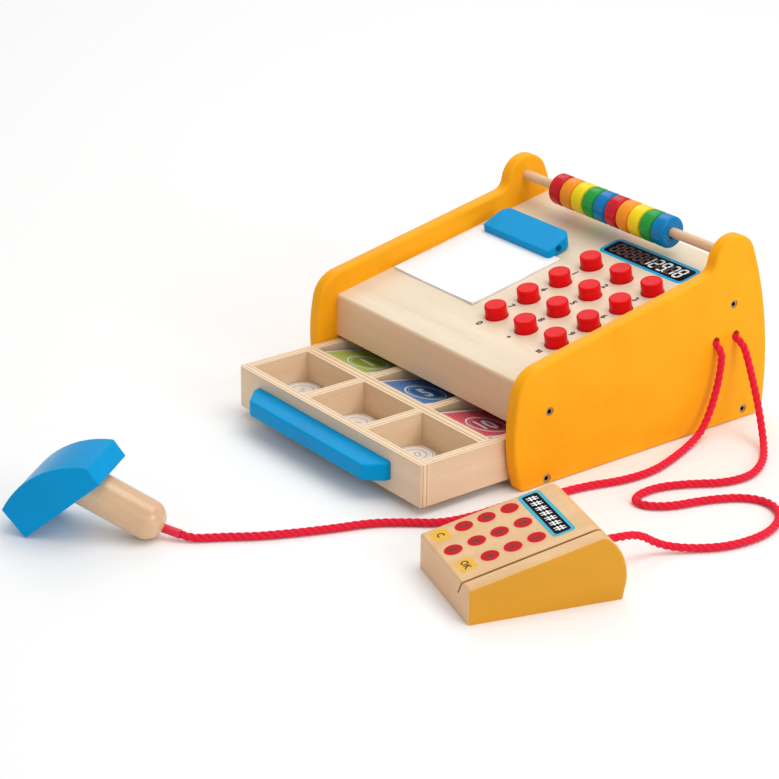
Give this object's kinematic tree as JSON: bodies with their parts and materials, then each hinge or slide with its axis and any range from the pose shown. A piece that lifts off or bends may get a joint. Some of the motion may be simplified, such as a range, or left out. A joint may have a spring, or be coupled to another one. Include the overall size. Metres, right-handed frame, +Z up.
{
  "type": "toy cash register",
  "caption": "Wooden toy till: sloped case, open cell drawer, spring keys, bead rod, rocking paper clip, and a scanner and card reader on braided cords.",
  "frame": {"origin": "middle of the base panel's underside, on the surface that the register stands on", "axes": "+X to the side that the cords leave, -Y towards the user and the drawer's opening direction, +Z up"},
  "size_m": [0.4121, 0.5788, 0.153],
  "materials": {
    "yellow_paint": "glossy paint on wood",
    "natural_wood": "satin lacquer",
    "drawer_ply": "sanded plywood",
    "blue_paint": "glossy paint on wood",
    "steel": "zinc plated",
    "paper": "plain paper",
    "coin_grey": "printed wood fibre board",
    "red_cord": "braided polyester",
    "red_plastic": "shrink sleeve",
    "red_paint": "glossy paint on wood",
    "orange_paint": "glossy paint on wood",
    "bead_yellow_paint": "glossy paint on wood",
    "green_paint": "glossy paint on wood",
    "bead_blue_paint": "glossy paint on wood"
  },
  "bodies": {
    "case": {"side_panel_left": "yellow_paint", "side_panel_right": "yellow_paint", "front_rail": "natural_wood", "top_panel": "natural_wood", "back_panel": "natural_wood", "base_panel": "natural_wood", "rear_rail": "natural_wood", "side_screws": "steel", "key_board": "natural_wood", "board_standoffs": "natural_wood", "key_springs": "steel", "abacus_rod": "natural_wood", "paper_pad": "paper", "clip_pin": "steel", "clip_brackets": "steel", "clip_spring": "steel", "cord_knots": "red_cord", "cord_scanner": "red_cord", "cord_reader": "red_cord"},
    "drawer": {"drawer_front": "drawer_ply", "drawer_back": "drawer_ply", "drawer_side_left": "drawer_ply", "drawer_side_right": "drawer_ply", "drawer_floor": "drawer_ply", "drawer_long_divider": "drawer_ply", "drawer_front_dividers": "drawer_ply", "drawer_rear_dividers": "drawer_ply", "drawer_handle": "blue_paint", "handle_screws": "steel", "coins": "coin_grey", "play_notes": "paper"},
    "paper_clip": {"paper_clip": "blue_paint"},
    "scanner": {"scanner_head": "blue_paint", "scanner_grip": "natural_wood", "cord_sleeve": "red_plastic"},
    "card_reader": {"reader_body": "natural_wood"},
    "key_1": {"key_1": "red_paint"},
    "key_2": {"key_2": "red_paint"},
    "key_3": {"key_3": "red_paint"},
    "key_4": {"key_4": "red_paint"},
    "key_5": {"key_5": "red_paint"},
    "key_6": {"key_6": "red_paint"},
    "key_7": {"key_7": "red_paint"},
    "key_8": {"key_8": "red_paint"},
    "key_9": {"key_9": "red_paint"},
    "key_10": {"key_10": "red_paint"},
    "key_11": {"key_11": "red_paint"},
    "key_12": {"key_12": "red_paint"},
    "bead_1": {"bead_1": "red_paint"},
    "bead_2": {"bead_2": "orange_paint"},
    "bead_3": {"bead_3": "bead_yellow_paint"},
    "bead_4": {"bead_4": "green_paint"},
    "bead_5": {"bead_5": "bead_blue_paint"},
    "bead_6": {"bead_6": "red_paint"},
    "bead_7": {"bead_7": "orange_paint"},
    "bead_8": {"bead_8": "bead_yellow_paint"},
    "bead_9": {"bead_9": "green_paint"},
    "bead_10": {"bead_10": "bead_blue_paint"}
  },
  "joints": [
    {"name": "drawer_slide", "type": "slide", "parent": "case", "child": "drawer", "axis": [0, -1, 0], "range_m": [-0.0936, 0.066]},
    {"name": "paper_clip_rock", "type": "hinge", "parent": "case", "child": "paper_clip", "pos_m": [-0.0597, 0.03834, 0.11021], "axis": [-1, 0, 0], "range_deg": [0, 8], "stiffness_Nm_per_rad": 0.3, "springref_deg": -8.59, "deforming": ["clip_spring"]},
    {"name": "scanner_lift", "type": "slide", "parent": "case", "child": "scanner", "axis": [0, 0, 1], "range_m": [0, 0.08], "deforming": ["cord_scanner"]},
    {"name": "card_reader_lift", "type": "slide", "parent": "case", "child": "card_reader", "axis": [0, 0, 1], "range_m": [0, 0.08], "deforming": ["cord_reader"]},
    {"name": "key_1_press", "type": "slide", "parent": "case", "child": "key_1", "axis": [0, 0.1941, -0.981], "range_m": [0, 0.003], "stiffness_N_per_m": 250, "springref_m": -0.002, "deforming": ["key_springs"]},
    {"name": "key_2_press", "type": "slide", "parent": "case", "child": "key_2", "axis": [0, 0.1941, -0.981], "range_m": [0, 0.003], "stiffness_N_per_m": 250, "springref_m": -0.002, "deforming": ["key_springs"]},
    {"name": "key_3_press", "type": "slide", "parent": "case", "child": "key_3", "axis": [0, 0.1941, -0.981], "range_m": [0, 0.003], "stiffness_N_per_m": 250, "springref_m": -0.002, "deforming": ["key_springs"]},
    {"name": "key_4_press", "type": "slide", "parent": "case", "child": "key_4", "axis": [0, 0.1941, -0.981], "range_m": [0, 0.003], "stiffness_N_per_m": 250, "springref_m": -0.002, "deforming": ["key_springs"]},
    {"name": "key_5_press", "type": "slide", "parent": "case", "child": "key_5", "axis": [0, 0.1941, -0.981], "range_m": [0, 0.003], "stiffness_N_per_m": 250, "springref_m": -0.002, "deforming": ["key_springs"]},
    {"name": "key_6_press", "type": "slide", "parent": "case", "child": "key_6", "axis": [0, 0.1941, -0.981], "range_m": [0, 0.003], "stiffness_N_per_m": 250, "springref_m": -0.002, "deforming": ["key_springs"]},
    {"name": "key_7_press", "type": "slide", "parent": "case", "child": "key_7", "axis": [0, 0.1941, -0.981], "range_m": [0, 0.003], "stiffness_N_per_m": 250, "springref_m": -0.002, "deforming": ["key_springs"]},
    {"name": "key_8_press", "type": "slide", "parent": "case", "child": "key_8", "axis": [0, 0.1941, -0.981], "range_m": [0, 0.003], "stiffness_N_per_m": 250, "springref_m": -0.002, "deforming": ["key_springs"]},
    {"name": "key_9_press", "type": "slide", "parent": "case", "child": "key_9", "axis": [0, 0.1941, -0.981], "range_m": [0, 0.003], "stiffness_N_per_m": 250, "springref_m": -0.002, "deforming": ["key_springs"]},
    {"name": "key_10_press", "type": "slide", "parent": "case", "child": "key_10", "axis": [0, 0.1941, -0.981], "range_m": [0, 0.003], "stiffness_N_per_m": 250, "springref_m": -0.002, "deforming": ["key_springs"]},
    {"name": "key_11_press", "type": "slide", "parent": "case", "child": "key_11", "axis": [0, 0.1941, -0.981], "range_m": [0, 0.003], "stiffness_N_per_m": 250, "springref_m": -0.002, "deforming": ["key_springs"]},
    {"name": "key_12_press", "type": "slide", "parent": "case", "child": "key_12", "axis": [0, 0.1941, -0.981], "range_m": [0, 0.003], "stiffness_N_per_m": 250, "springref_m": -0.002, "deforming": ["key_springs"]},
    {"name": "bead_1_slide", "type": "slide", "parent": "case", "child": "bead_1", "axis": [-1, 0, 0], "range_m": [0, 0.0385]},
    {"name": "bead_2_slide", "type": "slide", "parent": "case", "child": "bead_2", "axis": [-1, 0, 0], "range_m": [0, 0.0385]},
    {"name": "bead_3_slide", "type": "slide", "parent": "case", "child": "bead_3", "axis": [-1, 0, 0], "range_m": [0, 0.0385]},
    {"name": "bead_4_slide", "type": "slide", "parent": "case", "child": "bead_4", "axis": [-1, 0, 0], "range_m": [0, 0.0385]},
    {"name": "bead_5_slide", "type": "slide", "parent": "case", "child": "bead_5", "axis": [-1, 0, 0], "range_m": [0, 0.0385]},
    {"name": "bead_10_slide", "type": "slide", "parent": "case", "child": "bead_10", "axis": [1, 0, 0], "range_m": [0, 0.054]},
    {"name": "bead_9_slide", "type": "slide", "parent": "case", "child": "bead_9", "axis": [1, 0, 0], "range_m": [0, 0.054]},
    {"name": "bead_8_slide", "type": "slide", "parent": "case", "child": "bead_8", "axis": [1, 0, 0], "range_m": [0, 0.054]},
    {"name": "bead_7_slide", "type": "slide", "parent": "case", "child": "bead_7", "axis": [1, 0, 0], "range_m": [0, 0.054]},
    {"name": "bead_6_slide", "type": "slide", "parent": "case", "child": "bead_6", "axis": [1, 0, 0], "range_m": [0, 0.054]}
  ],
  "couplings": [
    {"joint": "bead_2_slide", "follows": "bead_1_slide", "ratio": 1},
    {"joint": "bead_3_slide", "follows": "bead_1_slide", "ratio": 1},
    {"joint": "bead_4_slide", "follows": "bead_1_slide", "ratio": 1},
    {"joint": "bead_5_slide", "follows": "bead_1_slide", "ratio": 1},
    {"joint": "bead_9_slide", "follows": "bead_10_slide", "ratio": 1},
    {"joint": "bead_8_slide", "follows": "bead_10_slide", "ratio": 1},
    {"joint": "bead_7_slide", "follows": "bead_10_slide", "ratio": 1},
    {"joint": "bead_6_slide", "follows": "bead_10_slide", "ratio": 1}
  ]
}
